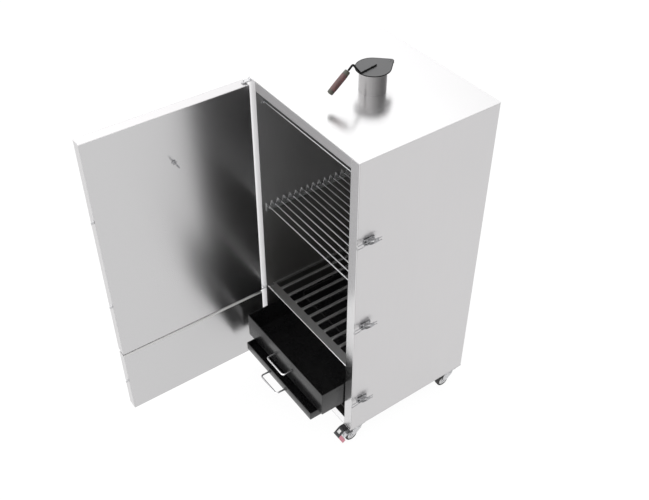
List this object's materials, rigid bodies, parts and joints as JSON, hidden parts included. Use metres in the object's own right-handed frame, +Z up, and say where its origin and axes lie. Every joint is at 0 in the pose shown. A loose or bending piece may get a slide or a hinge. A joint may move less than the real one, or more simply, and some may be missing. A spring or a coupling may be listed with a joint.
{
  "type": "electric cabinet smoker",
  "caption": "Insulated stainless cabinet smoker on casters: hinged doors with draw latches, slide-out fuel drawer and ash pan, food racks, fire plate, heater, and flue with swing lid.",
  "frame": {"origin": "centre of the bounding box at floor level, with both doors open and both drawers out as stored", "axes": "+Z up; the front with the doors faces -Y; +X is the side with the latches"},
  "size_m": [0.626, 1.1938, 1.3934],
  "materials": {
    "brushed_steel": "satin to polished stainless sheet, fine brush lines",
    "liner_steel": "mill-finish stainless sheet, slightly dulled by heat",
    "insulation": "mineral wool slab",
    "bright_wire": "bright round wire and rod",
    "black_steel": "satin black heat-proof enamel",
    "grey_steel": "plated pressed steel",
    "lid_steel": "dark satin steel",
    "wood": "oiled reddish hardwood",
    "element_steel": "oxidised tubular heater sheath",
    "black_plastic": "moulded black plastic",
    "rubber": "hard black rubber tread",
    "red_plastic": "moulded red plastic"
  },
  "bodies": {
    "cabinet": {"front_frame": "brushed_steel", "outer_wrap": "brushed_steel", "base_panel": "brushed_steel", "top_panel": "brushed_steel", "inner_liner": "liner_steel", "insulation": "insulation", "rack_comb_left": "liner_steel", "rack_comb_right": "liner_steel", "hanging_rack": "bright_wire", "runner_left": "liner_steel", "runner_right": "liner_steel", "heating_element": "element_steel", "terminal_box": "brushed_steel", "power_inlet": "black_plastic", "flue_pipe": "brushed_steel", "lid_bracket": "brushed_steel", "lid_pivot_bolt": "grey_steel", "hinge_bracket_top": "brushed_steel", "hinge_bracket_middle": "brushed_steel", "hinge_bracket_bottom": "brushed_steel", "latch_base_top": "grey_steel", "latch_base_middle": "grey_steel", "latch_base_bottom": "grey_steel"},
    "upper_door": {"upper_door_skin": "brushed_steel", "upper_door_inner_panel": "brushed_steel", "upper_door_insulation": "insulation", "thermometer_dial": "bright_wire", "thermometer_probe": "bright_wire", "keeper_top": "grey_steel", "keeper_middle": "grey_steel"},
    "lower_door": {"lower_door_skin": "brushed_steel", "lower_door_inner_panel": "brushed_steel", "lower_door_insulation": "insulation", "keeper_bottom": "grey_steel"},
    "fuel_drawer": {"fuel_drawer": "black_steel", "fuel_drawer_handle": "bright_wire"},
    "ash_pan": {"ash_pan": "black_steel", "ash_pan_handle": "bright_wire"},
    "food_rack": {"food_rack": "bright_wire"},
    "fire_plate": {"fire_plate": "liner_steel"},
    "flue_lid": {"flue_lid": "lid_steel", "lid_handle_rod": "black_steel", "lid_grip": "wood"},
    "thermostat_knob": {"thermostat_knob": "black_plastic"},
    "latch_lever_top": {"latch_lever_top": "grey_steel"},
    "latch_bail_top": {"latch_bail_top": "bright_wire"},
    "latch_lever_middle": {"latch_lever_middle": "grey_steel"},
    "latch_bail_middle": {"latch_bail_middle": "bright_wire"},
    "latch_lever_bottom": {"latch_lever_bottom": "grey_steel"},
    "latch_bail_bottom": {"latch_bail_bottom": "bright_wire"},
    "caster_fork_front_left": {"caster_fork_front_left": "grey_steel"},
    "caster_wheel_front_left": {"caster_wheel_front_left": "rubber"},
    "caster_fork_front_right": {"caster_fork_front_right": "grey_steel"},
    "caster_wheel_front_right": {"caster_wheel_front_right": "rubber"},
    "caster_fork_back_left": {"caster_fork_back_left": "grey_steel"},
    "caster_wheel_back_left": {"caster_wheel_back_left": "rubber"},
    "caster_fork_back_right": {"caster_fork_back_right": "grey_steel"},
    "caster_wheel_back_right": {"caster_wheel_back_right": "rubber"},
    "brake_pedal_front_left": {"brake_pedal_front_left": "red_plastic"},
    "brake_pedal_front_right": {"brake_pedal_front_right": "red_plastic"}
  },
  "joints": [
    {"name": "upper_door_hinge", "type": "hinge", "parent": "cabinet", "child": "upper_door", "pos_m": [-0.27063, -0.0203, 0.815], "axis": [0, 0, 1], "range_deg": [-60, 90.66]},
    {"name": "lower_door_hinge", "type": "hinge", "parent": "cabinet", "child": "lower_door", "pos_m": [-0.27063, -0.0203, 0.218], "axis": [0, 0, 1], "range_deg": [0, 90.66]},
    {"name": "fuel_drawer_slide", "type": "slide", "parent": "cabinet", "child": "fuel_drawer", "axis": [0, 1, 0], "range_m": [0, 0.144]},
    {"name": "ash_pan_slide", "type": "slide", "parent": "cabinet", "child": "ash_pan", "axis": [0, 1, 0], "range_m": [0, 0.175]},
    {"name": "food_rack_lift", "type": "slide", "parent": "cabinet", "child": "food_rack", "axis": [0, 0, 1], "range_m": [0, 0.06]},
    {"name": "fire_plate_lift", "type": "slide", "parent": "cabinet", "child": "fire_plate", "axis": [0, 0, 1], "range_m": [0, 0.06]},
    {"name": "flue_lid_swing", "type": "hinge", "parent": "cabinet", "child": "flue_lid", "pos_m": [0.00847, 0.3383, 1.349], "axis": [0, 0, 1], "range_deg": [-100, 100]},
    {"name": "thermostat_knob_turn", "type": "hinge", "parent": "cabinet", "child": "thermostat_knob", "pos_m": [0.04097, 0.5883, 0.367], "axis": [0, 1, 0], "range_deg": [0, 270]},
    {"name": "latch_lever_top_turn", "type": "hinge", "parent": "cabinet", "child": "latch_lever_top", "pos_m": [0.30297, 0.0373, 0.974], "axis": [0, 0, -1], "range_deg": [0, 120]},
    {"name": "latch_bail_top_turn", "type": "hinge", "parent": "latch_lever_top", "child": "latch_bail_top", "pos_m": [0.30797, 0.0513, 0.974], "axis": [0, 0, 1], "range_deg": [0, 120]},
    {"name": "latch_lever_middle_turn", "type": "hinge", "parent": "cabinet", "child": "latch_lever_middle", "pos_m": [0.30297, 0.0373, 0.608], "axis": [0, 0, -1], "range_deg": [0, 120]},
    {"name": "latch_bail_middle_turn", "type": "hinge", "parent": "latch_lever_middle", "child": "latch_bail_middle", "pos_m": [0.30797, 0.0513, 0.608], "axis": [0, 0, 1], "range_deg": [0, 120]},
    {"name": "latch_lever_bottom_turn", "type": "hinge", "parent": "cabinet", "child": "latch_lever_bottom", "pos_m": [0.30297, 0.0373, 0.231], "axis": [0, 0, -1], "range_deg": [0, 120]},
    {"name": "latch_bail_bottom_turn", "type": "hinge", "parent": "latch_lever_bottom", "child": "latch_bail_bottom", "pos_m": [0.30797, 0.0513, 0.231], "axis": [0, 0, 1], "range_deg": [0, 120]},
    {"name": "caster_front_left_swivel", "type": "hinge", "parent": "cabinet", "child": "caster_fork_front_left", "pos_m": [-0.25703, 0.0453, 0.062], "axis": [0, 0, 1], "continuous": true},
    {"name": "caster_front_left_roll", "type": "hinge", "parent": "caster_fork_front_left", "child": "caster_wheel_front_left", "pos_m": [-0.25703, 0.0193, 0.025], "axis": [1, 0, 0], "continuous": true},
    {"name": "caster_front_right_swivel", "type": "hinge", "parent": "cabinet", "child": "caster_fork_front_right", "pos_m": [0.27397, 0.0453, 0.062], "axis": [0, 0, 1], "continuous": true},
    {"name": "caster_front_right_roll", "type": "hinge", "parent": "caster_fork_front_right", "child": "caster_wheel_front_right", "pos_m": [0.27397, 0.0193, 0.025], "axis": [1, 0, 0], "continuous": true},
    {"name": "caster_back_left_swivel", "type": "hinge", "parent": "cabinet", "child": "caster_fork_back_left", "pos_m": [-0.25703, 0.4913, 0.062], "axis": [0, 0, 1], "continuous": true},
    {"name": "caster_back_left_roll", "type": "hinge", "parent": "caster_fork_back_left", "child": "caster_wheel_back_left", "pos_m": [-0.25703, 0.4653, 0.025], "axis": [1, 0, 0], "continuous": true},
    {"name": "caster_back_right_swivel", "type": "hinge", "parent": "cabinet", "child": "caster_fork_back_right", "pos_m": [0.27397, 0.4913, 0.062], "axis": [0, 0, 1], "continuous": true},
    {"name": "caster_back_right_roll", "type": "hinge", "parent": "caster_fork_back_right", "child": "caster_wheel_back_right", "pos_m": [0.27397, 0.4653, 0.025], "axis": [1, 0, 0], "continuous": true},
    {"name": "brake_pedal_front_left_press", "type": "hinge", "parent": "caster_fork_front_left", "child": "brake_pedal_front_left", "pos_m": [-0.25703, 0.0191, 0.0555], "axis": [1, 0, 0], "range_deg": [0, 12]},
    {"name": "brake_pedal_front_right_press", "type": "hinge", "parent": "caster_fork_front_right", "child": "brake_pedal_front_right", "pos_m": [0.27397, 0.0191, 0.0555], "axis": [1, 0, 0], "range_deg": [0, 12]}
  ],
  "couplings": [
    {"joint": "fuel_drawer_slide", "follows": "lower_door_hinge", "m_per_rad": 0.091},
    {"joint": "ash_pan_slide", "follows": "lower_door_hinge", "m_per_rad": 0.1105},
    {"joint": "latch_bail_top_turn", "follows": "latch_lever_top_turn", "ratio": 1},
    {"joint": "latch_bail_middle_turn", "follows": "latch_lever_middle_turn", "ratio": 1},
    {"joint": "latch_bail_bottom_turn", "follows": "latch_lever_bottom_turn", "ratio": 1}
  ]
}
